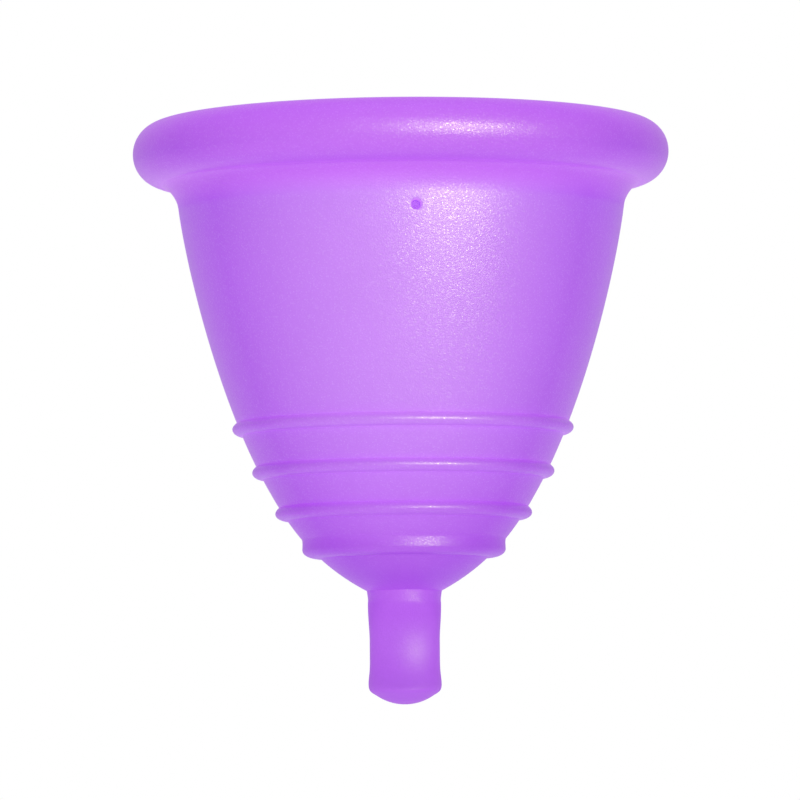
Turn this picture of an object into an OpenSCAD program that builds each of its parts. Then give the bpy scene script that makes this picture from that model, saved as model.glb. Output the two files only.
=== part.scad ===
// Soft menstrual cup, moulded in one shot from a platinum-cured silicone.
// Frame: origin at the lowest point of the stem tip, +Z along the axis of
// revolution towards the mouth. The front is -Y; one air hole lies close to it.
// All dimensions are millimetres and degrees.
//
// The moulding is divided where its own surface changes: at the neck under
// the rim bead, at the crease above the top and the bottom grip ring, and
// where the stem leaves the base. The stem flexes about two crossed axes.

/* [Rim] */
// Outside diameter of the rim bead
rim_d = 45; // [44:0.1:46]
// Radial width of the rim bead
bead_w = 4.84; // [4.4:0.02:5.2]
// Height of the rim bead
bead_h = 5.12; // [4.8:0.02:5.4]
// Height of the widest line of the bead above the stem tip
bead_z = 46.24; // [46:0.02:46.8]
// How far round the bead the neck fillet lands, from its equator
bead_wrap = 90; // [86:1:94]
// Handle length of the fillet curve at the wall
fillet_start = 1.2; // [1:0.05:1.3]
// Handle length of the fillet curve at the bead
fillet_land = 0.2; // [0.15:0.05:0.4]

/* [Wall] */
// Outside radius of the wall where it turns out to the bead
mouth_r = 18.71; // [18.6:0.005:18.85]
// Height of that turn
mouth_z = 41.7; // [41.5:0.05:41.9]
// Lean of the wall at the mouth, from vertical
mouth_angle = 7.2; // [5:0.1:9]
// Outside radius of the bowl at its belt
belt_r = 11.25; // [11:0.05:11.5]
// Height of the belt
belt_z = 17.92; // [17.7:0.02:18.2]
// Lean of the bowl at the belt, from vertical
belt_angle = 29.4; // [28:0.2:31]
// Outside radius of the base where the stem leaves it
root_r = 3.1; // [3.05:0.01:3.2]
// Height of the stem root
root_z = 9.47; // [9.3:0.01:9.6]
// Lean of the base at the stem root, from vertical
root_angle = 62; // [60:0.5:64]
// Thickness of the wall below the rim
wall_t = 1.8; // [1.5:0.05:2]
// Thickness of the bowl at the belt
belt_t = 2.1; // [1.9:0.05:2.4]
// Height of the inside floor above the stem tip
floor_z = 12.9; // [12.8:0.05:13.2]

/* [Air holes] */
// Number of air holes round the wall
hole_count = 4; // [2:1:6]
// Radius of an air hole
hole_r = 0.4; // [0.3:0.05:0.5]
// Height of the air holes
hole_z = 40.23; // [39.5:0.01:40.5]
// Turn of the first air hole from the front, towards +X
hole_turn = 3.8; // [0:0.1:20]

/* [Grip rings] */
// Height of the tip of grip ring 1, the top ring
ring_1_z = 23.12; // [23:0.02:23.3]
// Height of the tip of grip ring 2
ring_2_z = 19.45; // [19.3:0.02:19.6]
// Height of the tip of grip ring 3
ring_3_z = 15.98; // [15.8:0.02:16.1]
// Height of the tip of grip ring 4, the bottom ring
ring_4_z = 12.95; // [12.85:0.02:13.05]
// How far ring 1 stands out from the wall
ring_1_out = 0.59; // [0.5:0.01:0.7]
// How far ring 4 stands out from the wall
ring_4_out = 0.77; // [0.65:0.01:0.85]
// Height of the top crease of rings 1 to 3 above the ring's tip
ring_rise = 0.52; // [0.48:0.01:0.58]
// Height of the top edge of ring 4 above its tip, where it meets the wall
ring_4_rise = 0.9; // [0.86:0.01:0.92]
// Depth of the underside of rings 1 to 3 below the tip
ring_drop = 0.57; // [0.52:0.01:0.62]
// Fullness of a ring's upper flank
ring_flank = 0.22; // [0.15:0.01:0.28]

/* [Stem] */
// Radius of the stem at its waist, a plain cylinder
waist_r = 2.935; // [2.85:0.005:2.98]
// Height of the lower end of the waist
waist_low_z = 3.6; // [3.5:0.05:3.8]
// Height of the upper end of the waist
waist_high_z = 5.3; // [5:0.05:5.4]
// Radius of the flare near the stem's end
flare_r = 3.062; // [3:0.002:3.12]
// Height of the flare
flare_z = 1.66; // [1.6:0.02:1.8]
// Radius of the stem just below its collar
shank_r = 3.066; // [3:0.002:3.1]
// Height of the lower edge of the collar
collar_z = 8.6; // [8.4:0.02:8.8]
// Spherical radius of the stem's end
tip_sphere_r = 4.2; // [4:0.1:4.6]

/* [Finger scoops] */
// Half of the stem's thickness between its front and back scoops
scoop_half = 2.1; // [2:0.05:2.4]
// Height of the middle of the scoops
scoop_z = 4.6; // [4.5:0.05:4.75]
// Upright radius of a scoop
scoop_upright_r = 8; // [7.8:0.1:8.6]
// Sideways radius of the low crown across a scoop
scoop_crown_r = 4.3; // [4:0.1:4.6]

/* [Flex] */
// Height of the upper flex axis, along X
flex_x_z = 7.8; // [7.6:0.05:8]
// Height of the lower flex axis, along Y
flex_y_z = 4.4; // [4.2:0.05:4.6]
// Radius of the lower flex surface
flex_y_r = 3.3; // [3.24:0.01:3.36]
// Gap between two flexing surfaces
flex_gap = 0.04; // [0.03:0.01:0.06]

/* [Hidden] */
$fn = 96;

silicone = [0.74, 0.46, 0.95];
silicone_deep = [0.66, 0.38, 0.90];

// ---- curves, as lists of [radius, height] ----------------------------------
function lean(angle) = [sin(angle), cos(angle)];
function tail(list) = [for (i = [1 : len(list) - 1]) list[i]];
function reversed(list) = [for (i = [len(list) - 1 : -1 : 0]) list[i]];
function by_height(line) = [for (p = line) [p[1], p[0]]];

function bezier(a, b, c, d, steps) =
    [for (i = [0 : steps]) let (t = i/steps, s = 1 - t)
        s*s*s*a + 3*s*s*t*b + 3*s*t*t*c + t*t*t*d];

// Bezier that leaves start along one handle vector and arrives at end along another.
function curve(start, leave, arrive, end, steps) =
    bezier(start, start + leave, end - arrive, end, steps);

// Points between two heights on a surface given as a table of [height, radius].
function run(table, from_z, to_z, steps) =
    [for (i = [0 : steps]) let (z = from_z + (to_z - from_z)*i/steps) [lookup(z, table), z]];

// ---- bowl and wall ---------------------------------------------------------
// Outer surface, as one smooth line from root to mouth.
root = [root_r, root_z];
belt = [belt_r, belt_z];
mouth = [mouth_r, mouth_z];
outer_line = concat(
    curve(root, 5.6*lean(root_angle), 2.5*lean(belt_angle), belt, 36),
    tail(curve(belt, 8.6*lean(belt_angle), 4.65*lean(mouth_angle), mouth, 48)));
outer_table = by_height(outer_line);
function outer_r(z) = lookup(z, outer_table);

// Inner surface: the floor rises into the bowl, then follows the outer
// surface at the wall's thickness.
floor_handle = 5.6;
inner_belt_angle = belt_angle - 1; // above the belt
inner_belt = belt - belt_t*[cos(belt_angle), -sin(belt_angle)];
inner_mouth = mouth - [wall_t, 0];
inner_line = concat(
    curve([0, floor_z], [floor_handle, 0], 2.9*lean(belt_angle), inner_belt, 24),
    tail(curve(inner_belt, 7.6*lean(inner_belt_angle),
               4.45*lean(mouth_angle), inner_mouth, 36)));
inner_table = by_height(tail(inner_line));
function inner_r(z) = lookup(z, inner_table);

// ---- rim bead --------------------------------------------------------------
bead_half_w = bead_w/2;
bead_half_h = bead_h/2;
bead_middle_r = rim_d/2 - bead_half_w;
function bead(angle) =
    [bead_middle_r + bead_half_w*cos(angle), bead_z + bead_half_h*sin(angle)];
bead_tangent = [bead_half_w*sin(bead_wrap), bead_half_h*cos(bead_wrap)];
fillet = curve(mouth, fillet_start*lean(mouth_angle),
               fillet_land*bead_tangent/norm(bead_tangent), bead(-bead_wrap), 12);
bead_arc = [for (angle = [-bead_wrap : 5 : 180]) bead(angle)];
// Inside of the rim, from the bead down to the wall.
throat = curve(bead(180), [0, -1.6], -1.5*lean(mouth_angle), inner_mouth, 8);

// ---- grip rings ------------------------------------------------------------
// Each list has one entry per ring, from ring 1 at index 0 to ring 4 at index 3.
ring_z = [ring_1_z, ring_2_z, ring_3_z, ring_4_z];
ring_out = [for (i = [0 : 3]) ring_1_out + (ring_4_out - ring_1_out)*pow(i/3, 3)];
// Depth of the underside below the tip
ring_depth = ring_drop*[1, 1, 1, 1.23];
// Radial width of the rounded underside
ring_lip = [0.75, 0.85, 0.95, 1.2];
// Height of the top crease above the tip
ring_lift = [ring_rise, ring_rise, ring_rise, ring_4_rise];
// Angle below level at which the upper flank leaves the wall
ring_dive = [40, 40, 40, 118];
function ring_top(i) = ring_z[i] + ring_lift[i];
function ring_low(i) = ring_z[i] - ring_depth[i];

// A ring stands on a narrow flat cone between its crease and its corner. Its
// upper flank dives out of the wall and rounds over to the tip. Its underside
// is fuller and ends flat. Ring 4 sits so low on the curve of the bowl that
// its flank is an upright band, flush above and very slightly hollow.
function ring_line(i) =
    let (tip_z = ring_z[i],
         tip_r = outer_r(tip_z) + ring_out[i],
         crease = [outer_r(ring_top(i)), ring_top(i)])
    concat(
        curve(crease, ring_flank*[cos(ring_dive[i]), -sin(ring_dive[i])],
              [0, -ring_flank], [tip_r, tip_z], 8),
        [for (angle = [9 : 9 : 90])
            [tip_r - ring_lip[i]*(1 - cos(angle)), tip_z - ring_depth[i]*sin(angle)]],
        [[outer_r(ring_low(i)), ring_low(i)]]);

// ---- stem ------------------------------------------------------------------
// The domed end is spherical out to dome_r.
dome_r = 2.35;
function dome(r) = [r, tip_sphere_r - sqrt(tip_sphere_r*tip_sphere_r - r*r)];
dome_tangent = [sqrt(tip_sphere_r*tip_sphere_r - dome_r*dome_r), dome_r]/tip_sphere_r;

flare = [flare_r, flare_z];
waist_low = [waist_r, waist_low_z];
waist_high = [waist_r, waist_high_z];

// The collar starts at a small inward step and runs up to the stem root.
collar_edge_h = 0.12;
shank_top = [shank_r, collar_z - collar_edge_h];
collar_low = [shank_r - 0.02, collar_z];
collar_high = collar_low + [0, collar_edge_h];
stem_root = [root_r + 0.04, root_z];

stem_line = concat(
    [for (i = [0 : 8]) dome(dome_r*i/8)],
    tail(curve(dome(dome_r), 0.42*dome_tangent, [0, 0.64], flare, 8)),
    tail(curve(flare, [0, 0.54], [0, 1], waist_low, 8)),
    [waist_high],
    tail(curve(waist_high, [0, 1], [0, 1.6 - collar_edge_h], shank_top, 8)),
    [collar_low, collar_high],
    tail(curve(collar_high, [0.01, 0.23], [0.03, 0.2], stem_root, 4)));
stem_table = by_height(tail(stem_line));
function stem_r(z) = lookup(z, stem_table);

// Upper flex surface: a sphere through the corner between base and stem.
flex_x_r = norm(stem_root - [0, flex_x_z]);

// ---- shared shapes ---------------------------------------------------------
module flex_sphere(z, r) {
    translate([0, 0, z]) sphere(r = r);
}

module grip_ring(i) {
    color(silicone_deep) rotate_extrude() polygon(ring_line(i));
}

// The cutters of the front and back finger scoops. Each is a sector of a ring
// round an upright axis.
module finger_scoops() {
    sweep = 100;
    for (turn = [-90, 90])
        rotate([0, 0, turn]) translate([scoop_half - scoop_crown_r, 0, scoop_z])
            rotate([0, 0, -sweep/2]) rotate_extrude(angle = sweep)
                translate([scoop_crown_r + scoop_upright_r, 0]) circle(r = scoop_upright_r);
}

// The stem between two heights, closed on the axis. Above the stem root it
// goes on as a plain cylinder.
module stem_slug(low_z, high_z) {
    margin = 0.001; // keeps points of the line off both ends
    shoulder_z = min(high_z, root_z);
    shoulder_r = stem_r(shoulder_z);
    rotate_extrude() polygon(concat(
        [[0, low_z], [stem_r(low_z), low_z]],
        [for (p = stem_line) if (p[1] > low_z + margin && p[1] < high_z - margin) p],
        [[shoulder_r, shoulder_z], [shoulder_r, high_z], [0, high_z]]));
}

// ---- sub-parts -------------------------------------------------------------
// Rounded bead round the mouth, with the fillet that carries it on the wall.
module sealing_rim() {
    color(silicone) rotate_extrude()
        polygon(concat(fillet, tail(bead_arc), [bead(180)], tail(throat)));
}

// Thin funnel wall from the rim down to the crease above the top grip ring.
module cup_wall() {
    drill_length = 8;
    drill_start_r = mouth_r - 5;
    color(silicone) difference() {
        rotate_extrude() polygon(concat(
            run(outer_table, ring_top(0), mouth_z, 24),
            reversed(run(inner_table, ring_top(0), mouth_z, 24))));
        for (k = [0 : hole_count - 1])
            rotate([0, 0, -90 + hole_turn + 360*k/hole_count])
                translate([drill_start_r, 0, hole_z])
                    rotate([0, 90, 0]) cylinder(r = hole_r, h = drill_length, $fn = 32);
    }
}

// Rounded bowl behind the upper three grip rings. It is flat under each ring.
module lower_bowl() {
    color(silicone) rotate_extrude() polygon(concat(
        run(outer_table, ring_top(3), ring_low(2), 3),
        run(outer_table, ring_top(2), ring_low(1), 4),
        run(outer_table, ring_top(1), ring_low(0), 4),
        [[outer_r(ring_top(0)), ring_top(0)]],
        reversed(run(inner_table, ring_top(3), ring_top(0), 18))));
}

module grip_ring_1() { grip_ring(0); }
module grip_ring_2() { grip_ring(1); }
module grip_ring_3() { grip_ring(2); }
module grip_ring_4() { grip_ring(3); }

// Thick bottom of the cup. Its lower side is hollowed to a spherical seat
// about the upper flex axis, where the stem neck turns.
module base() {
    top_z = ring_top(3);
    color(silicone) difference() {
        rotate_extrude() polygon(concat(
            [[0, root_z], root],
            tail(run(outer_table, root_z, ring_low(3), 14)),
            [[outer_r(top_z), top_z], [inner_r(top_z), top_z]],
            reversed([for (p = inner_line) if (p[1] < top_z - 0.02) p])));
        flex_sphere(flex_x_z, flex_x_r + flex_gap);
    }
}

// Root of the stem with its collar band: a ball in the base above, a
// spherical seat for the stem below.
module stem_neck() {
    color(silicone_deep) difference() {
        intersection() {
            flex_sphere(flex_x_z, flex_x_r);
            stem_slug(flex_y_z + 0.8, flex_x_z + flex_x_r + 1);
        }
        flex_sphere(flex_y_z, flex_y_r + flex_gap);
        finger_scoops();
    }
}

// Free part of the stem, with its waist and scoops, its flared foot and its
// domed end.
module pull_stem() {
    color(silicone) difference() {
        union() {
            rotate_extrude() polygon(concat(
                [for (p = stem_line) if (p[1] < flex_y_z - 0.001) p],
                [[stem_r(flex_y_z), flex_y_z], [0, flex_y_z]]));
            intersection() {
                flex_sphere(flex_y_z, flex_y_r);
                stem_slug(flex_y_z, flex_y_z + flex_y_r + 0.5);
            }
        }
        finger_scoops();
    }
}

sealing_rim();
cup_wall();
lower_bowl();
grip_ring_1();
grip_ring_2();
grip_ring_3();
grip_ring_4();
base();
stem_neck();
pull_stem();
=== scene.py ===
import math

import bmesh
import bpy
import numpy as np
from mathutils import Matrix, Vector


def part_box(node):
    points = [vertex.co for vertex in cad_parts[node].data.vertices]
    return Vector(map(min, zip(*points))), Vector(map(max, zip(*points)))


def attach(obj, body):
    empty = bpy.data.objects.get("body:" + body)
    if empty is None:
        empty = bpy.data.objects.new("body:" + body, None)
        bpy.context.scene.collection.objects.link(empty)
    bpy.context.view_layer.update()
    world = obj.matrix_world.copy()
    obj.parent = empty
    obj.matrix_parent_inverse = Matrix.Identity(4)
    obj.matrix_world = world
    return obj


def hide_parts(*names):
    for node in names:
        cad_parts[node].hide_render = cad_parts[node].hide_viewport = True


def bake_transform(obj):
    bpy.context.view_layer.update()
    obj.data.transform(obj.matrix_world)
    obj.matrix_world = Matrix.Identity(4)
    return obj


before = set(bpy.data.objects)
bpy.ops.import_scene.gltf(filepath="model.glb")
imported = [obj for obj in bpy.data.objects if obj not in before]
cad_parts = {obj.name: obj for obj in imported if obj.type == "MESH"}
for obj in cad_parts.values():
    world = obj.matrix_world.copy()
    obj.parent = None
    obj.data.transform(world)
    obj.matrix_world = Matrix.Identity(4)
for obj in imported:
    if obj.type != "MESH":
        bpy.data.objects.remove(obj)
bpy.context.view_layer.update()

MM = 0.001
HOLES = 4
CUP_COLUMNS = 240  # a multiple of HOLES, so that every air hole sits the same way on them
STEM_COLUMNS = 120
HOLE_TURN = math.radians(-90 + 3.8)  # azimuth of the first air hole
SMOOTH_ANGLE = math.radians(38)


# ---------------------------------------------------------------- sizes, mm and degrees
def top(node):
    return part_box(node)[1].z / MM


def low(node):
    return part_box(node)[0].z / MM


def wide(node):
    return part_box(node)[1].x / MM


# read from the frame's boxes; rings are numbered from the top down
RIM_R, RIM_TOP = wide("sealing_rim"), top("sealing_rim")
MOUTH_R, MOUTH_Z = wide("cup_wall"), top("cup_wall")
RING_NODES = [f"grip_ring_{i}" for i in (1, 2, 3, 4)]
RING_TOP = [top(node) for node in RING_NODES]
RING_LOW = [low(node) for node in RING_NODES]

# rim: an oval bead, with a fillet below it
BEAD_W, BEAD_H = 4.84, 5.12
BEAD_WRAP = 90.0  # how far the bead goes round below its widest point
FILLET_START, FILLET_END = 1.2, 0.2  # handle lengths
THROAT_TOP, THROAT_LOW = 1.6, 1.5  # handle lengths

# cup: radius, height and lean from upright at each station, then thicknesses
MOUTH_ANGLE = 7.2
BELT_R, BELT_Z, BELT_ANGLE = 11.25, 17.92, 29.4
ROOT_R, ROOT_Z, ROOT_ANGLE = 3.10, 9.47, 62.0
WALL_T, BELT_T, FLOOR_Z = 1.8, 2.1, 12.9

# grip rings, top to bottom: tip height, dive of the flank out of the wall, width of the lip
RINGS = [
    (23.12, 40.0, 0.75),
    (19.45, 40.0, 0.85),
    (15.98, 40.0, 0.95),
    (12.95, 118.0, 1.2),
]
RING_OUT = [0.59 + 0.18 * (i / 3) ** 3 for i in range(4)]  # how far each tip stands out
RING_FLANK = 0.22  # handle length

# air holes
HOLE_R, HOLE_Z = 0.4, 40.23
HOLE_LIP_OUT, HOLE_LIP_IN, HOLE_DIP = 0.20, 0.12, 0.08
WINDOW_HALF_H = 1.3  # half height of the patch of wall meshed round a hole
WINDOW_HALF = 4  # half the patch's columns and rows

# stem
WAIST_R, WAIST_Z0, WAIST_Z1 = 2.935, 3.6, 5.3
FLARE_R, FLARE_Z = 3.062, 1.66
SHANK_R, COLLAR_Z = 3.066, 8.6
JOIN_R = ROOT_R + 0.04
TIP_SPHERE_R, TIP_EDGE_R = 4.2, 2.35
STEM_SEAM_Z = 6.13  # where the neck's skin, which bends on the real cup, hands over to the stem's
# finger scoops: half thickness left between them, height of their middle, radii of the
# hollow up and down and sideways, and how softly they run out into the round stem
SCOOP_HALF, SCOOP_Z, SCOOP_V, SCOOP_H, SCOOP_SOFT = 2.1, 4.6, 8.0, 4.3, 0.35


# ---------------------------------------------------------------- line tools
def leaning(angle):
    """Unit (radius, height) direction that leans outward by an angle from upright."""
    angle = math.radians(angle)
    return np.array([math.sin(angle), math.cos(angle)])


def bezier(start, handle, end_handle, end, steps):
    p0, p1, p2, p3 = (np.asarray(p, float) for p in (start, handle, end_handle, end))
    t = np.linspace(0, 1, steps + 1)[:, None]
    s = 1 - t
    return s**3 * p0 + 3 * s * s * t * p1 + 3 * s * t * t * p2 + t**3 * p3


def join(*runs):
    """Chains runs of points and drops the repeats where they meet."""
    points = []
    for run in runs:
        for point in run:
            point = np.asarray(point, float)
            if not points or np.linalg.norm(points[-1] - point) > 1e-5:
                points.append(point)
    return np.array(points)


def radius_at(line, z):
    return np.interp(z, line[:, 1], line[:, 0])


def point_at(line, z):
    return [radius_at(line, z), z]


def along(line, z0, z1, step):
    """Evenly spaced points on a profile line between two heights, ends included."""
    part = line[(line[:, 1] > z0 + 1e-4) & (line[:, 1] < z1 - 1e-4)]
    full = join([point_at(line, z0)], part, [point_at(line, z1)])
    travel = np.concatenate([[0], np.cumsum(np.linalg.norm(np.diff(full, axis=0), axis=1))])
    count = max(1, int(round(travel[-1] / step)))
    stops = np.linspace(0, travel[-1], count + 1)
    return np.c_[np.interp(stops, travel, full[:, 0]), np.interp(stops, travel, full[:, 1])]


def parting(start, end, bands=3):
    """A hidden parting face between two pieces, cut into a few bands."""
    start, end = np.asarray(start), np.asarray(end)
    return [start + (end - start) * t for t in np.linspace(0, 1, bands + 1)]


# ---------------------------------------------------------------- cup profile lines
root = np.array([ROOT_R, ROOT_Z])
belt = np.array([BELT_R, BELT_Z])
mouth = np.array([MOUTH_R, MOUTH_Z])
belt_up, mouth_up = leaning(BELT_ANGLE), leaning(MOUTH_ANGLE)
belt_in = belt - BELT_T * np.array([belt_up[1], -belt_up[0]])
mouth_in = np.array([MOUTH_R - WALL_T, MOUTH_Z])

# both run upward: outer from the stem's root, inner from the middle of the floor
outer_line = join(
    bezier(root, root + 5.6 * leaning(ROOT_ANGLE), belt - 2.5 * belt_up, belt, 400),
    bezier(belt, belt + 8.6 * belt_up, mouth - 4.65 * mouth_up, mouth, 600),
)
inner_line = join(
    bezier([0, FLOOR_Z], [5.6, FLOOR_Z], belt_in - 2.9 * belt_up, belt_in, 400),
    bezier(
        belt_in, belt_in + 7.6 * leaning(BELT_ANGLE - 1), mouth_in - 4.45 * mouth_up, mouth_in, 600
    ),
)
inner_wall = inner_line[1:]  # without the point on the axis


# ---------------------------------------------------------------- mesh tools
def revolve(loop, columns, is_open=None):
    """A closed solid of revolution from a closed loop of (radius, height) in mm.

    Points on the axis become one vertex. Faces where is_open(row, column) holds are left
    out. Returns vertices, faces and the grid of vertex indices by row and column.
    """
    azimuths = HOLE_TURN + 2 * math.pi * np.arange(columns) / columns
    verts, grid, faces = [], [], []
    for r, z in loop:
        if r < 1e-6:
            grid.append([len(verts)] * columns)
            verts.append((0.0, 0.0, z))
        else:
            grid.append(list(range(len(verts), len(verts) + columns)))
            verts += [(r * math.cos(a), r * math.sin(a), z) for a in azimuths]
    for i, row in enumerate(grid):
        above = grid[(i + 1) % len(grid)]
        if row[0] == row[1] and above[0] == above[1]:
            continue
        for k in range(columns):
            if is_open and is_open(i, k):
                continue
            j = (k + 1) % columns
            # repeats on the axis fall away and leave a triangle
            faces.append(list(dict.fromkeys([row[k], row[j], above[j], above[k]])))
    return verts, faces, grid


def add_skin(node, verts, faces):
    """Builds the mesh that takes a frame node's place, in violet silicone."""
    name = f"{node}_skin"
    mesh = bpy.data.meshes.new(name)
    mesh.from_pydata([tuple(np.array(v) * MM) for v in verts], [], [tuple(f) for f in faces])
    mesh.validate()
    mesh.update()
    skin = bpy.data.objects.new(name, mesh)
    bpy.context.scene.collection.objects.link(skin)
    work = bmesh.new()
    work.from_mesh(mesh)
    bmesh.ops.recalc_face_normals(work, faces=work.faces)
    work.to_mesh(mesh)
    work.free()
    mesh.shade_smooth()
    mesh.set_sharp_from_angle(angle=SMOOTH_ANGLE)
    mesh.materials.append(violet)
    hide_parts(node)
    return skin


def add_cup_part(node, verts, faces):
    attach(add_skin(node, verts, faces), "cup")


# ---------------------------------------------------------------- node tools
class Nodes:
    """Adds nodes to one tree. Inputs take either a socket to link or a plain value."""

    def __init__(self, tree):
        self.tree = tree

    def new(self, kind, **settings):
        node = self.tree.nodes.new(f"ShaderNode{kind}")
        for key, value in settings.items():
            setattr(node, key, value)
        return node

    def feed(self, node, inputs):
        for key, value in inputs.items():
            if isinstance(value, bpy.types.NodeSocket):
                self.tree.links.new(value, node.inputs[key])
            else:
                node.inputs[key].default_value = value

    def maths(self, operation, a, b=None, clamp=False):
        node = self.new("Math", operation=operation, use_clamp=clamp)
        self.feed(node, {0: a} if b is None else {0: a, 1: b})
        return node.outputs[0]

    def add(self, a, b):
        return self.maths("ADD", a, b)

    def subtract(self, a, b, clamp=False):
        return self.maths("SUBTRACT", a, b, clamp)

    def multiply(self, a, b, clamp=False):
        return self.maths("MULTIPLY", a, b, clamp)

    def vector(self, operation, a, b=None):
        node = self.new("VectorMath", operation=operation)
        self.feed(node, {0: a})
        if b is not None:
            self.feed(node, {"Scale" if operation == "SCALE" else 1: b})
        return node.outputs["Value" if operation in ("DOT_PRODUCT", "LENGTH") else "Vector"]

    def split(self, kind, socket):
        """The three parts of a vector (kind XYZ) or a colour (kind Color)."""
        node = self.new(f"Separate{kind}")
        self.feed(node, {0: socket})
        return node.outputs

    def map_range(self, value, source, target, interpolation="LINEAR"):
        node = self.new("MapRange", interpolation_type=interpolation)
        self.feed(node, {"Value": value, "From Min": source[0], "From Max": source[1]})
        self.feed(node, {"To Min": target[0], "To Max": target[1]})
        return node.outputs[0]

    def ramp(self, factor, stops):
        node = self.new("ValToRGB")
        self.feed(node, {0: factor})
        elements = node.color_ramp.elements
        for i, (position, colour) in enumerate(stops):
            element = elements[i] if i < 2 else elements.new(position)
            element.position = position
            element.color = (*colour, 1)
        return node.outputs[0]

    def mix(self, factor, a, b):
        node = self.new("Mix", data_type="RGBA")
        self.feed(node, {"Factor": factor, "A": a, "B": b})
        return node.outputs["Result"]


def greys(stops):
    return [(position, (level, level, level)) for position, level in stops]


# ---------------------------------------------------------------- silicone values
RAMP_HEIGHT = 50.0  # mm covered by the ramps over height

# noises: size in mm, detail, roughness
GRAIN = dict(size=0.12, detail=1.0, roughness=0.5)
CLOUD = dict(size=9.0, detail=2.0, roughness=0.5)
MOTTLE = dict(size=0.55, detail=2.0, roughness=0.6)

# glints: cell size in mm, where a dot fades out in its cell, how rare bright ones are, gain
GLINT_CELL = 0.13
GLINT_EDGE = (0.20, 0.70)
GLINT_RARITY = 2.5
GLINT_GAIN = 2.2

# pigment: shares of cloud and mottle, their swing, the share of painted glints (painted highlight
# specks in the colour), the base level
CLOUD_SHARE, MOTTLE_SHARE = 0.7, 0.3
PIGMENT_SWING, PAINTED_GLINT_SHARE, PIGMENT_BASE = 0.10, 0.012, 0.945

# the face-on colour is painted light through the slim wall, the edge-on colour painted shade
PAINTED_LIGHT_FACING = (0.0, 0.45)  # facing range over which the face-on colour gives way
# colour painted into the air holes for the light and shade inside them
BORE_PAINTED_COLOUR = (0.50, 0.15, 0.85, 1)
BORE_FADE = (HOLE_R, HOLE_R + HOLE_LIP_OUT + 0.08)  # mm from a hole's axis

# fill light: reach in m and limit of the hollows and nooks it gathers in
HOLLOW = dict(distance=0.003, limit=0.45)
NOOK = dict(distance=0.0007, limit=0.5)
HOLLOW_FILL = 0.50
HOLLOW_TINT = (1.25, 1.0, 0.72)
NOOK_COLOUR = (0.45, 0.27, 0.42)
# glow at the holes' outer ends: colour, falloff power, radius where it starts, slope per mm
BORE_GLOW = (0.13, 0.085, 0.20)
BORE_FALLOFF, BORE_START_R, BORE_SLOPE = 3.0, 16.9, 0.9
THROUGH_SLOPE, THROUGH_LEVEL = -1.5, 0.11  # glow on faces that look in to the axis

# satin finish
SPECK_BASE = 0.75  # sheen where there is no glint
GRAIN_ROUGHNESS = 0.16
GRAIN_HEIGHT = 0.00002  # m
SILICONE_IOR = 1.42
KEY_DIR = (0.42, -0.904, -0.07)
# sheen by how far the view comes from the key light's side, 0 away from it to 1 along it
KEY_FADE = [(0.0, 0.0), (0.05, 0.003), (0.15, 0.05), (0.33, 0.40), (0.5, 0.70), (0.65, 1.0)]
# glint strength and base roughness (third value unused) by height: the stem is smoother
POLISH = [
    (0.0, (0.15, 0.38, 0)),
    (8.2, (0.15, 0.38, 0)),
    (8.8, (0.5, 0.32, 0)),
    (16.0, (1.0, 0.30, 0)),
    (49.0, (1.0, 0.30, 0)),
]
# glow in the ring creases by height
CREASE = [(0.0, 0.0), (14.0, 0.0), (16.2, 0.05), (19.5, 0.12), (23.5, 0.12), (26.0, 0.0)]
# sheen by height: the stem and its scoops are the most matt
SHEEN = [
    (0.0, 0.08), (2.4, 0.10), (4.5, 0.31), (5.7, 0.29), (7.4, 0.08), (8.3, 0.10),
    (8.7, 0.31), (9.4, 0.31), (10.0, 0.22), (13.6, 0.26), (16.3, 0.36), (20.0, 0.50),
    (41.25, 0.50), (41.6, 0.22), (42.6, 0.25), (44.0, 0.39), (49.0, 0.39),
]
# colour by height seen edge on: the violet dye with painted shade at the edges, and painted light
# and shade by height, such as the paler band under the rim's bead
EDGE_ON_SHADED_COLOUR = [
    (0.0, (0.440, 0.130, 0.80)),
    (3.0, (0.475, 0.127, 0.86)),
    (8.0, (0.461, 0.114, 0.85)),
    (10.5, (0.398, 0.091, 0.80)),
    (16.0, (0.427, 0.094, 0.83)),
    (24.0, (0.446, 0.105, 0.86)),
    (41.5, (0.461, 0.109, 0.90)),
    (43.2, (0.514, 0.127, 0.90)),
    (43.7, (0.563, 0.155, 0.94)),
    (44.3, (0.495, 0.123, 0.89)),
    (45.5, (0.436, 0.088, 0.85)),
    (49.0, (0.514, 0.123, 0.89)),
]
# colour by height seen face on: the violet dye made paler by painted light coming through the slim
# wall, with the same painted light and shade by height
FACE_ON_LIT_COLOUR = [
    (0.0, (0.44, 0.13, 0.80)),
    (3.0, (0.475, 0.127, 0.86)),
    (8.0, (0.475, 0.125, 0.86)),
    (10.5, (0.475, 0.132, 0.81)),
    (14.0, (0.52, 0.183, 0.87)),
    (19.0, (0.55, 0.205, 0.91)),
    (25.0, (0.59, 0.242, 0.94)),
    (41.5, (0.60, 0.247, 0.95)),
    (43.2, (0.60, 0.175, 0.94)),
    (43.7, (0.64, 0.20, 0.96)),
    (44.3, (0.58, 0.17, 0.93)),
    (45.5, (0.55, 0.155, 0.92)),
    (49.0, (0.55, 0.15, 0.92)),
]
# how far the bowl's own lean counts, by height over the ringed part
TILT_WEIGHT = [
    (12.0, 0.0), (12.5, 1.0), (14.5, 1.0), (16.5, 1.0),
    (18.5, 1.0), (21.0, 1.0), (23.5, 1.0), (26.5, 0.0),
]


def bowl_tilt():
    """The bowl's lean by height, as (cosine, sine, weight)."""
    stops = []
    for z, weight in TILT_WEIGHT:
        widening = radius_at(outer_line, z + 0.2) - radius_at(outer_line, z - 0.2)
        lean = math.atan2(widening, 0.4)
        stops.append((z, (math.cos(lean), math.sin(lean), weight)))
    return stops


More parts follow.
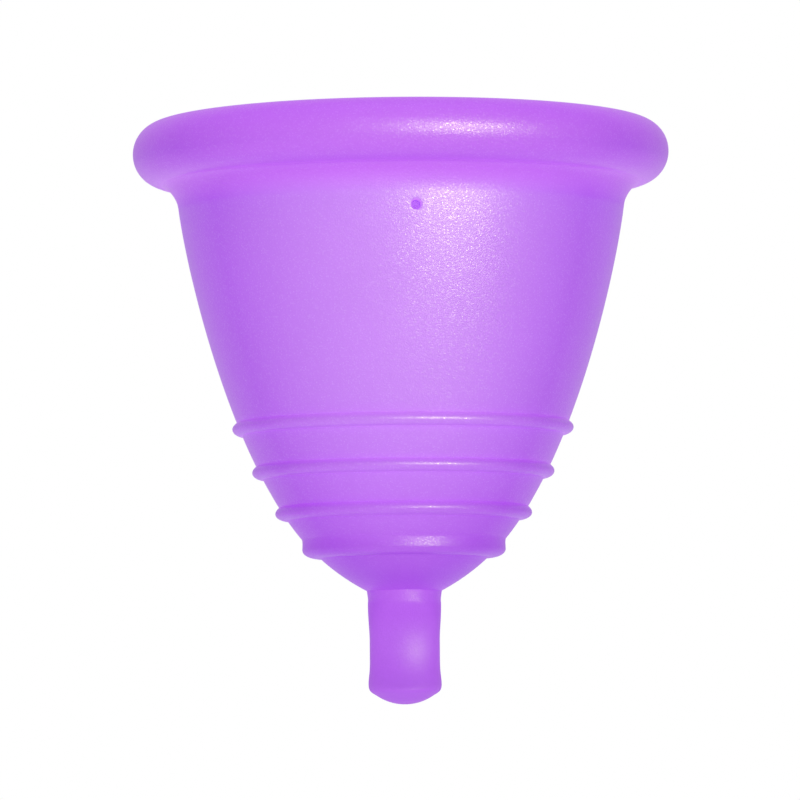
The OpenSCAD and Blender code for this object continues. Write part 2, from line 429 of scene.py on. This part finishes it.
# ---------------------------------------------------------------- silicone
class SiliconeNodes(Nodes):
    """The parts of the silicone's shader, with the coordinates they share."""

    def __init__(self, tree):
        super().__init__(tree)
        self.mm = self.vector("SCALE", self.new("TexCoord").outputs["Object"], 1 / MM)
        self.height = self.multiply(self.split("XYZ", self.mm)["Z"], 1 / RAMP_HEIGHT)
        self.flat = self.vector("MULTIPLY", self.mm, (1.0, 1.0, 0.0))
        self.radial = self.vector("NORMALIZE", self.flat)
        geometry = self.new("NewGeometry")
        self.incoming = geometry.outputs["Incoming"]
        self.normal = geometry.outputs["Normal"]

    def noise(self, size, detail, roughness):
        node = self.new("TexNoise")
        self.feed(node, {"Vector": self.mm, "Scale": 1.0 / size})
        self.feed(node, {"Detail": detail, "Roughness": roughness})
        return node.outputs["Fac"]

    def over_height(self, stops):
        return self.ramp(self.height, [(z / RAMP_HEIGHT, colour) for z, colour in stops])

    def glints(self):
        """Tiny round specks, few of them bright."""
        cells = self.new("TexVoronoi")
        self.feed(cells, {"Scale": 1.0 / GLINT_CELL, "Vector": self.mm})
        dot = self.map_range(cells.outputs["Distance"], GLINT_EDGE, (1.0, 0.0), "SMOOTHSTEP")
        draw = self.split("Color", cells.outputs["Color"])[0]
        chance = self.maths("POWER", draw, GLINT_RARITY)
        return self.multiply(self.multiply(dot, chance), GLINT_GAIN)

    def pigment_and_painted_glints(self, glint):
        """Slow cloudy drift plus fine mottling, and painted glints that lighten the colour in
        specks, as a gain on the colour.
        """
        cloud = self.multiply(self.noise(**CLOUD), CLOUD_SHARE)
        drift = self.add(cloud, self.multiply(self.noise(**MOTTLE), MOTTLE_SHARE))
        # painted highlight: the glints lighten the colour a little
        base = self.add(self.multiply(glint, PAINTED_GLINT_SHARE), PIGMENT_BASE)
        return self.add(self.multiply(drift, PIGMENT_SWING), base)

    def facing(self):
        """How edge-on the surface is seen. Over the rings it follows the bowl behind them."""
        weight = self.new("LayerWeight")
        self.feed(weight, {"Blend": 0.5})
        toward = self.vector("DOT_PRODUCT", self.radial, self.incoming)
        rise = self.split("XYZ", self.incoming)["Z"]
        cosine, sine, share = self.split("Color", self.over_height(bowl_tilt()))
        level = self.subtract(self.multiply(cosine, toward), self.multiply(sine, rise))
        bowl = self.subtract(1.0, self.maths("ABSOLUTE", level), clamp=True)
        own = self.multiply(weight.outputs["Facing"], self.subtract(1.0, share))
        return self.add(own, self.multiply(bowl, share))

    def bore(self):
        """1 in the air holes, fading to 0 just outside their lips: where the painted bore colour
        and bore glow go.
        """
        turned = self.new("VectorRotate", rotation_type="Z_AXIS")
        self.feed(turned, {"Angle": -HOLE_TURN, "Vector": self.mm})
        x, y, z = self.split("XYZ", turned.outputs[0])
        side = self.maths("MINIMUM", self.maths("ABSOLUTE", x), self.maths("ABSOLUTE", y))
        rise = self.subtract(z, HOLE_Z)
        squares = self.add(self.multiply(side, side), self.multiply(rise, rise))
        return self.map_range(self.maths("SQRT", squares), BORE_FADE, (1.0, 0.0), "SMOOTHSTEP")

    def tone(self, bore, glint):
        """Violet dye with painted light and shade: paler where the wall is seen face on, as light
        through it, deeper on the thick parts and edge on, and by height; greyer in the bores,
        painted for the light and shade in them.
        """
        # share of the face-on painted light; the rest is edge-on painted shade
        face_on_light = self.map_range(self.facing(), PAINTED_LIGHT_FACING, (1.0, 0.0))
        colour = self.mix(face_on_light, self.over_height(EDGE_ON_SHADED_COLOUR), self.over_height(FACE_ON_LIT_COLOUR))
        # painted light and shade in the air holes
        colour = self.mix(bore, colour, BORE_PAINTED_COLOUR)
        return self.vector("SCALE", colour, self.pigment_and_painted_glints(glint))

    def occlusion(self, distance, limit):
        node = self.new("AmbientOcclusion", samples=12)
        self.feed(node, {"Distance": distance})
        return self.maths("MINIMUM", self.subtract(1.0, node.outputs["AO"], clamp=True), limit)

    def fill_light(self, tone, bore):
        """Light from the mass around, which keeps creases, bores and the inside from going dark."""
        hollow = self.multiply(self.occlusion(**HOLLOW), HOLLOW_FILL)
        glow = self.vector("SCALE", self.vector("MULTIPLY", tone, HOLLOW_TINT), hollow)

        # painted light in the fine creases over and under the raised rings, where shade would fall
        nook = self.multiply(self.occlusion(**NOOK), self.over_height(greys(CREASE)))
        total = self.vector("ADD", glow, self.vector("SCALE", NOOK_COLOUR, nook))

        reach = self.subtract(self.vector("LENGTH", self.flat), BORE_START_R)
        outward = self.multiply(reach, BORE_SLOPE, clamp=True)
        lit = self.multiply(self.maths("POWER", bore, BORE_FALLOFF), outward)
        total = self.vector("ADD", total, self.vector("SCALE", BORE_GLOW, lit))

        # light comes through the thin wall into the cavity
        outness = self.vector("DOT_PRODUCT", self.radial, self.normal)
        inward = self.multiply(outness, THROUGH_SLOPE, clamp=True)
        through = self.vector("SCALE", tone, self.multiply(inward, THROUGH_LEVEL))
        return self.vector("ADD", total, through)

    def satin(self, glint):
        """Sheen, roughness and normal: a fine grain with glints that break the highlight."""
        grain = self.noise(**GRAIN)
        strength, base_roughness, _ = self.split("Color", self.over_height(POLISH))
        speck = self.add(self.multiply(glint, strength), SPECK_BASE)
        # the sheen fades as the view turns to face the key light
        against = self.vector("DOT_PRODUCT", self.incoming, KEY_DIR)
        fade = self.ramp(self.add(self.multiply(against, 0.5), 0.5), greys(KEY_FADE))
        sheen = self.multiply(self.multiply(self.over_height(greys(SHEEN)), speck), fade)
        roughness = self.add(self.multiply(grain, GRAIN_ROUGHNESS), base_roughness)
        bump = self.new("Bump")
        self.feed(bump, {"Strength": 1.0, "Distance": GRAIN_HEIGHT, "Height": grain})
        return {
            "Specular IOR Level": sheen,
            "Roughness": roughness,
            "Normal": bump.outputs[0],
        }


def silicone(name):
    """Dyed translucent silicone with a fine satin mould finish."""
    material = bpy.data.materials.new(name)
    material.use_nodes = True
    material.node_tree.nodes.clear()
    nodes = SiliconeNodes(material.node_tree)
    output = nodes.new("OutputMaterial")
    bsdf = nodes.new("BsdfPrincipled")
    nodes.feed(output, {0: bsdf.outputs[0]})
    glint = nodes.glints()
    bore = nodes.bore()
    tone = nodes.tone(bore, glint)
    nodes.feed(bsdf, {"Base Color": tone, "Emission Color": nodes.fill_light(tone, bore)})
    nodes.feed(bsdf, {"Emission Strength": 1.0, "IOR": SILICONE_IOR})
    nodes.feed(bsdf, nodes.satin(glint))
    return material


# ---------------------------------------------------------------- rim
def bead(angle):
    """A point on the rim's oval bead; 0 is its widest point and 90 its top."""
    angle = math.radians(angle)
    half_w, half_h = BEAD_W / 2, BEAD_H / 2
    return np.array([
        RIM_R - half_w + half_w * math.cos(angle),
        RIM_TOP - half_h + half_h * math.sin(angle),
    ])


def add_rim():
    wrap = math.radians(BEAD_WRAP)
    landing = bead(-BEAD_WRAP)
    onward = np.array([BEAD_W / 2 * math.sin(wrap), BEAD_H / 2 * math.cos(wrap)])
    onward /= np.linalg.norm(onward)
    fillet = bezier(
        mouth, mouth + FILLET_START * mouth_up, landing - FILLET_END * onward, landing, 22
    )
    arc = [bead(angle) for angle in np.linspace(-BEAD_WRAP, 180, 76)]
    throat = bezier(
        bead(180), bead(180) - [0, THROAT_TOP], mouth_in + THROAT_LOW * mouth_up, mouth_in, 14
    )
    loop = join(fillet, arc, throat, parting(mouth_in, mouth))[:-1]
    verts, faces, _ = revolve(loop, CUP_COLUMNS)
    add_cup_part("sealing_rim", verts, faces)


# ---------------------------------------------------------------- wall with its air holes
WINDOW = 2 * WINDOW_HALF
HOLE_PITCH = CUP_COLUMNS // HOLES  # columns from one hole to the next
window_z = np.linspace(HOLE_Z - WINDOW_HALF_H, HOLE_Z + WINDOW_HALF_H, WINDOW + 1)

# (column, row) round a window's border, from its right middle, anticlockwise from outside
BORDER = (
    [(WINDOW_HALF, k) for k in range(0, WINDOW_HALF)]
    + [(k, WINDOW_HALF) for k in range(WINDOW_HALF, -WINDOW_HALF, -1)]
    + [(-WINDOW_HALF, k) for k in range(WINDOW_HALF, -WINDOW_HALF, -1)]
    + [(k, -WINDOW_HALF) for k in range(-WINDOW_HALF, WINDOW_HALF)]
    + [(WINDOW_HALF, k) for k in range(-WINDOW_HALF, 0)]
)


def wall_run(line):
    """Points up one side of the wall, and the row where the windows start."""
    lower = along(line, RING_TOP[0], window_z[0], 0.5)
    middle = np.c_[radius_at(line, window_z), window_z]
    upper = along(line, window_z[-1], MOUTH_Z, 0.36)
    return join(lower, middle, upper), len(lower) - 1


def add_band(faces, ring, next_ring):
    for k in range(len(ring)):
        j = (k + 1) % len(ring)
        faces.append([ring[k], ring[j], next_ring[j], next_ring[k]])


def close_window(verts, faces, border, azimuth, line, lip, dip):
    """Rings of quads from a window's border in to a round, soft-lipped hole.

    Returns the last ring, where the bore starts.
    """
    base_r = radius_at(line, HOLE_Z)
    column_angle = 2 * math.pi / CUP_COLUMNS
    flat = np.array([
        [column * column_angle * base_r, window_z[WINDOW_HALF + row] - HOLE_Z]
        for column, row in BORDER
    ])
    angles = np.arctan2(flat[:, 1], flat[:, 0])
    size = np.linalg.norm(flat, axis=1)
    lip_r = HOLE_R + lip
    steps = [(size * (1 - t) + lip_r * t, 0.0) for t in (0.28, 0.52, 0.72, 0.88, 1.0)]
    for t in np.linspace(0, math.pi / 2, 6)[1:]:
        radii = np.full(len(angles), HOLE_R + lip * (1 - math.sin(t)))
        steps.append((radii, dip * (1 - math.cos(t))))
    last = border
    for radii, depth in steps:
        ring = []
        for angle, radius in zip(angles, radii):
            x = radius * math.cos(angle)
            z = HOLE_Z + radius * math.sin(angle)
            r = radius_at(line, z)
            if radius < lip_r + 1e-6:
                # from the lip on, the points stand straight in along the hole's axis
                out = math.sqrt(max(r * r - x * x, 0)) + depth
                point = (
                    out * math.cos(azimuth) - x * math.sin(azimuth),
                    out * math.sin(azimuth) + x * math.cos(azimuth),
                    z,
                )
            else:
                turn = azimuth + x / base_r
                point = (r * math.cos(turn), r * math.sin(turn), z)
            ring.append(len(verts))
            verts.append(point)
        add_band(faces, last, ring)
        last = ring
    return last


def add_bore(verts, faces, start, end):
    """The tube between a hole's two lips."""
    last = start
    for t in (0.25, 0.5, 0.75):
        ring = []
        for a, b in zip(start, end):
            ring.append(len(verts))
            verts.append(tuple(np.array(verts[a]) * (1 - t) + np.array(verts[b]) * t))
        add_band(faces, last, ring)
        last = ring
    add_band(faces, last, end)


def add_wall():
    outer_run, outer_first = wall_run(outer_line)
    inner_run, inner_first = wall_run(inner_wall)
    upper_cap = parting(outer_run[-1], inner_run[-1])[1:-1]
    lower_cap = parting(inner_run[0], outer_run[0])[1:-1]
    loop = np.vstack([outer_run, upper_cap, inner_run[::-1], lower_cap])

    # the windows' rows in the loop, from the bottom up; the inner side runs backwards
    inner_low = len(outer_run) + len(upper_cap) + len(inner_run) - 1 - inner_first
    outer_rows = [outer_first + k for k in range(WINDOW + 1)]
    inner_rows = [inner_low - k for k in range(WINDOW + 1)]
    open_rows = set(outer_rows[:-1] + inner_rows[1:])

    def in_window(row, column):
        return (column + WINDOW_HALF) % HOLE_PITCH < WINDOW and row in open_rows

    verts, faces, grid = revolve(loop, CUP_COLUMNS, in_window)
    for hole in range(HOLES):
        azimuth = HOLE_TURN + 2 * math.pi * hole / HOLES
        ends = []
        for rows, line, lip, dip in (
            (outer_rows, outer_line, HOLE_LIP_OUT, -HOLE_DIP),
            (inner_rows, inner_wall, HOLE_LIP_IN, HOLE_DIP),
        ):
            border = [
                grid[rows[WINDOW_HALF + row]][(hole * HOLE_PITCH + column) % CUP_COLUMNS]
                for column, row in BORDER
            ]
            ends.append(close_window(verts, faces, border, azimuth, line, lip, dip))
        add_bore(verts, faces, *ends)
    add_cup_part("cup_wall", verts, faces)


# ---------------------------------------------------------------- bowl, rings and base
def ring_seat(i):
    """The parting face behind a grip ring, from its foot up."""
    return parting(point_at(outer_line, RING_LOW[i]), point_at(outer_line, RING_TOP[i]), 4)


def add_bowl():
    outside = []
    for i in (2, 1, 0):
        outside.append(along(outer_line, RING_TOP[i + 1], RING_LOW[i], 0.3))
        outside.append(ring_seat(i))
    inside = along(inner_wall, RING_TOP[3], RING_TOP[0], 0.45)
    loop = join(
        *outside,
        parting(outside[-1][-1], inside[-1]),
        inside[::-1],
        parting(inside[0], outside[0][0]),
    )[:-1]
    verts, faces, _ = revolve(loop, CUP_COLUMNS)
    add_cup_part("lower_bowl", verts, faces)


def add_grip_ring(i):
    """A flank that dives out of the wall and rounds over to the tip, then a full,
    flat-bottomed underside. Ring 4's flank is an upright band, flush with the bowl above.
    """
    tip_z, dive, lip_w = RINGS[i]
    tip_r = radius_at(outer_line, tip_z) + RING_OUT[i]
    drop = tip_z - RING_LOW[i]
    dive = math.radians(dive)
    crease = np.array(point_at(outer_line, RING_TOP[i]))
    tip = np.array([tip_r, tip_z])
    dive_handle = crease + RING_FLANK * np.array([math.cos(dive), -math.sin(dive)])
    flank = bezier(crease, dive_handle, tip + [0, RING_FLANK], tip, 14)
    lip = [
        [tip_r - lip_w * (1 - math.cos(t)), tip_z - drop * math.sin(t)]
        for t in np.linspace(0, math.pi / 2, 22)[1:]
    ]
    verts, faces, _ = revolve(join(flank, lip, ring_seat(i))[:-1], CUP_COLUMNS)
    add_cup_part(RING_NODES[i], verts, faces)


def add_base():
    """Rounded bottom, flat seat for ring 4 and dished floor."""
    outside = along(outer_line, ROOT_Z + 0.02, RING_LOW[3], 0.22)
    corner_end = outside[0] - 0.03 * leaning(ROOT_ANGLE)
    corner = bezier([JOIN_R, ROOT_Z], [JOIN_R + 0.01, ROOT_Z + 0.03], corner_end, outside[0], 3)
    seat = ring_seat(3)
    cut = point_at(inner_wall, RING_TOP[3])
    floor = inner_line[inner_line[:, 1] < RING_TOP[3] - 0.01][::-1]
    loop = join(
        corner,
        outside,
        seat,
        parting(seat[-1], cut, 6),
        floor[::14],
        [[0.0, FLOOR_Z]],
        parting([0.0, ROOT_Z], [JOIN_R, ROOT_Z], 6),
    )[:-1]
    verts, faces, _ = revolve(loop, CUP_COLUMNS)
    add_cup_part("base", verts, faces)


# ---------------------------------------------------------------- stem
def tip_point(r):
    return np.array([r, TIP_SPHERE_R - math.sqrt(TIP_SPHERE_R**2 - r * r)])


def stem_outline():
    """From the tip up: domed tip, flare, waist, shank, fine collar step and root."""
    edge = tip_point(TIP_EDGE_R)
    slope = np.array([math.sqrt(TIP_SPHERE_R**2 - TIP_EDGE_R**2), TIP_EDGE_R]) / TIP_SPHERE_R
    flare = [FLARE_R, FLARE_Z]
    waist_low, waist_high = [WAIST_R, WAIST_Z0], [WAIST_R, WAIST_Z1]
    shank = [SHANK_R, COLLAR_Z - 0.14]
    collar = [SHANK_R - 0.02, COLLAR_Z + 0.12]
    # each curve: start, its handle, the end's handle, end, steps
    curves = [
        (edge, edge + 0.42 * slope, [FLARE_R, FLARE_Z - 0.64], flare, 16),
        (flare, [FLARE_R, FLARE_Z + 0.54], [WAIST_R, WAIST_Z0 - 1], waist_low, 16),
        (waist_high, [WAIST_R, WAIST_Z1 + 1], [SHANK_R, COLLAR_Z - 1.6], shank, 24),
        (shank, [SHANK_R, COLLAR_Z - 0.02], [SHANK_R - 0.022, COLLAR_Z - 0.02], collar, 6),
        (
            collar,
            [SHANK_R - 0.01, COLLAR_Z + 0.35],
            [ROOT_R + 0.01, ROOT_Z - 0.2],
            [JOIN_R, ROOT_Z],
            10,
        ),
    ]
    dome = [tip_point(r) for r in np.linspace(0, TIP_EDGE_R, 12)]
    return join(dome, *(bezier(*curve) for curve in curves))


stem_line = stem_outline()
stem_side = stem_line[1:]  # without the point on the axis


def scooped(verts):
    """Draws the stem's front and back in to the two finger scoops."""
    drawn = []
    offset = SCOOP_H - SCOOP_HALF
    for x, y, z in verts:
        r = math.hypot(x, y)
        if r < 1e-6:
            drawn.append((x, y, z))
            continue
        full = float(radius_at(stem_side, z))
        arc_r = SCOOP_H + SCOOP_V - math.sqrt(SCOOP_V**2 - (z - SCOOP_Z) ** 2)
        across, depth = x / r, abs(y / r)
        cut = -offset * depth + math.sqrt(arc_r * arc_r - offset * offset * across * across)
        # the smaller of the two radii, blended where they are close
        near = max(SCOOP_SOFT - abs(full - cut), 0.0) / SCOOP_SOFT
        scale = (min(full, cut) - near * near * SCOOP_SOFT / 4) / full
        drawn.append((x * scale, y * scale, z))
    return drawn


def add_neck():
    outside = along(stem_side, STEM_SEAM_Z, ROOT_Z, 0.11)
    loop = join(
        outside,
        parting([JOIN_R, ROOT_Z], [0.0, ROOT_Z], 6),
        parting([0.0, STEM_SEAM_Z], outside[0], 6),
    )[:-1]
    verts, faces, _ = revolve(loop, STEM_COLUMNS)
    neck = add_skin("stem_neck", scooped(verts), faces)
    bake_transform(neck)


def add_stem():
    tip_count = 14  # points at the tip kept as drawn; the rest are spaced evenly
    shaft = along(stem_side, stem_line[tip_count][1], STEM_SEAM_Z, 0.12)
    loop = join(stem_line[:tip_count], shaft, parting(shaft[-1], [0.0, STEM_SEAM_Z], 6))
    verts, faces, _ = revolve(loop, STEM_COLUMNS)
    stem = add_skin("pull_stem", scooped(verts), faces)
    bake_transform(stem)


# ---------------------------------------------------------------- stage, in metres
STAGE_Z = -0.016
STAGE_HALF = 30.0
AMBIENT = 0.70


def stage_material():
    """Evenly lit, like a light table, so that no lamp draws its edge on it.

    Solid from above and open from below, so that the underside can be looked at.
    """
    material = bpy.data.materials.new("pale_floor")
    material.use_nodes = True
    nodes = Nodes(material.node_tree)
    bsdf = nodes.tree.nodes["Principled BSDF"]
    nodes.feed(bsdf, {
        "Base Color": (0.10, 0.10, 0.102, 1),
        "Roughness": 0.9,
        "Specular IOR Level": 0.0,
        "Emission Color": (1.0, 1.0, 1.0, 1),
        "Emission Strength": 0.755,
    })
    clear, sides = nodes.new("BsdfTransparent"), nodes.new("MixShader")
    backfacing = nodes.new("NewGeometry").outputs["Backfacing"]
    nodes.feed(sides, {0: backfacing, 1: bsdf.outputs[0], 2: clear.outputs[0]})
    nodes.feed(nodes.tree.nodes["Material Output"], {0: sides.outputs[0]})
    return material


def add_stage():
    mesh = bpy.data.meshes.new("floor")
    corners = [(-1, -1), (1, -1), (1, 1), (-1, 1)]
    verts = [(x * STAGE_HALF, y * STAGE_HALF, STAGE_Z) for x, y in corners]
    mesh.from_pydata(verts, [], [(0, 1, 2, 3)])
    stage = bpy.data.objects.new("studio_floor", mesh)
    bpy.context.scene.collection.objects.link(stage)
    mesh.materials.append(stage_material())


def set_world():
    """Pure white to the eye, softer as ambient light."""
    world = bpy.data.worlds.new("studio")
    bpy.context.scene.world = world
    world.use_nodes = True
    nodes = Nodes(world.node_tree)
    seen = nodes.new("LightPath").outputs["Is Camera Ray"]
    strength = nodes.map_range(seen, (0.0, 1.0), (AMBIENT, 1.0))
    nodes.feed(nodes.tree.nodes["Background"], {0: (1.0, 1.0, 1.0, 1), 1: strength})


# ---------------------------------------------------------------- lights, in metres
def add_area(name, where, aim, size, power, color=(1, 1, 1)):
    light = bpy.data.lights.new(name, "AREA")
    light.shape = "RECTANGLE"
    light.size, light.size_y = size
    light.energy = power
    light.color = color
    lamp = bpy.data.objects.new(name, light)
    bpy.context.scene.collection.objects.link(lamp)
    lamp.visible_camera = False
    lamp.location = where
    lamp.rotation_mode = "QUATERNION"
    lamp.rotation_quaternion = (Vector(aim) - Vector(where)).to_track_quat("-Z", "Y")
    return lamp


def around(centre, azimuth, elevation, distance):
    """A place round a centre; azimuth 0 is in front and 90 towards +X."""
    turn, rise = math.radians(azimuth), math.radians(elevation)
    return (
        centre[0] + distance * math.sin(turn) * math.cos(rise),
        centre[1] - distance * math.cos(turn) * math.cos(rise),
        centre[2] + distance * math.sin(rise),
    )


def add_lights():
    key_aim = (0, 0, 0.0132)
    key = add_area(
        "key_softbox",
        where=around(key_aim, azimuth=25, elevation=-4, distance=0.31),
        aim=key_aim,
        size=(0.19, 0.26),
        power=4.9,
        color=(0.86, 1.0, 0.32),
    )
    key.visible_diffuse = False  # this one only draws the satin highlight
    centre = (0, 0, 0.03)
    add_area(
        "front_fill",
        where=around(centre, azimuth=4, elevation=8, distance=0.75),
        aim=centre,
        size=(0.50, 0.50),
        power=1.40,
        color=(1.0, 1.0, 0.88),
    )
    add_area(
        "floor_glow",
        where=(0, -0.05, STAGE_Z + 0.0005),
        aim=(0, -0.05, 1),
        size=(0.25, 0.25),
        power=0.03,
    )
    lid = add_area(
        "top_fill", where=(0, -0.06, 0.47), aim=(0, 0, 0.04), size=(0.30, 0.30), power=0.5
    )
    lid.visible_glossy = False


# ---------------------------------------------------------------- camera, in metres
CAMERA_AT = Vector((0, -0.550, -0.0105))
CAMERA_AIM = Vector((0, 0, 0.0255))
CAMERA_ROLL = math.radians(-0.48)
VIEW_WIDTH = 0.067076579  # width the picture takes in at the aim
VIEW_SHIFT = -0.0034375  # sideways shift, as a share of the picture's width


def add_camera():
    lens = bpy.data.cameras.new("camera")
    camera = bpy.data.objects.new("camera", lens)
    bpy.context.scene.collection.objects.link(camera)
    sight = CAMERA_AIM - CAMERA_AT
    lens.sensor_width = 36.0
    lens.lens = lens.sensor_width * sight.length / VIEW_WIDTH
    lens.clip_start, lens.clip_end = 0.01, 100
    lens.shift_x = VIEW_SHIFT
    facing = sight.to_track_quat("-Z", "Y").to_matrix().to_4x4()
    roll = Matrix.Rotation(CAMERA_ROLL, 4, "Z")
    camera.matrix_world = Matrix.Translation(CAMERA_AT) @ facing @ roll
    bpy.context.scene.camera = camera


# ---------------------------------------------------------------- build
violet = silicone("violet_silicone")
add_rim()
add_wall()
add_bowl()
for ring_index in range(len(RINGS)):
    add_grip_ring(ring_index)
add_base()
add_neck()
add_stem()
add_stage()
set_world()
add_lights()
add_camera()
bpy.context.scene.view_settings.view_transform = "Standard"
bpy.context.scene.view_settings.look = "None"
